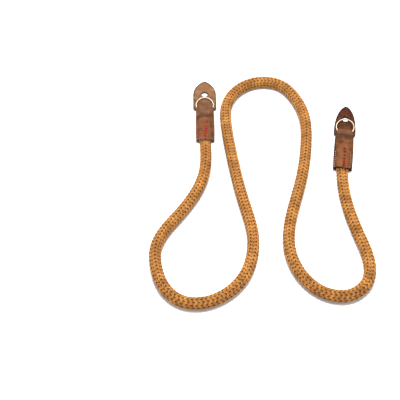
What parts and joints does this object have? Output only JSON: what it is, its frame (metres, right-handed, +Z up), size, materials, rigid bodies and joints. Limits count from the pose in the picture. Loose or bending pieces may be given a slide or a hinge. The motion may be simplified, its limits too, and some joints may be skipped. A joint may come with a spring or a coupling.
{
  "type": "rope camera strap",
  "caption": "Neck strap of round braided rope, lying in loose curves, with a sewn leather sleeve, a split ring and a leather protector at each end.",
  "frame": {"origin": "on the floor, under the middle of the box round the two leather ends with their rings and protectors (the rope left out, as the free cord)", "axes": "+Z up from the floor; +X from the left end to the right end; +Y from the sleeves towards the protectors' tips"},
  "size_m": [0.2052, 0.2937, 0.0116],
  "materials": {
    "rope_fibre": "round braid of matt ochre yarn",
    "sleeve_leather": "semi-matt brown leather, dark painted edges, red stitches",
    "protector_leather": "semi-matt tan leather, darker edges",
    "ring_nickel": "bright nickel plate on flat spring-steel wire"
  },
  "bodies": {
    "root": {"rope": "rope_fibre", "left_sleeve": "sleeve_leather", "right_sleeve": "sleeve_leather", "left_ring": "ring_nickel", "right_ring": "ring_nickel", "left_protector": "protector_leather", "right_protector": "protector_leather"}
  },
  "joints": []
}
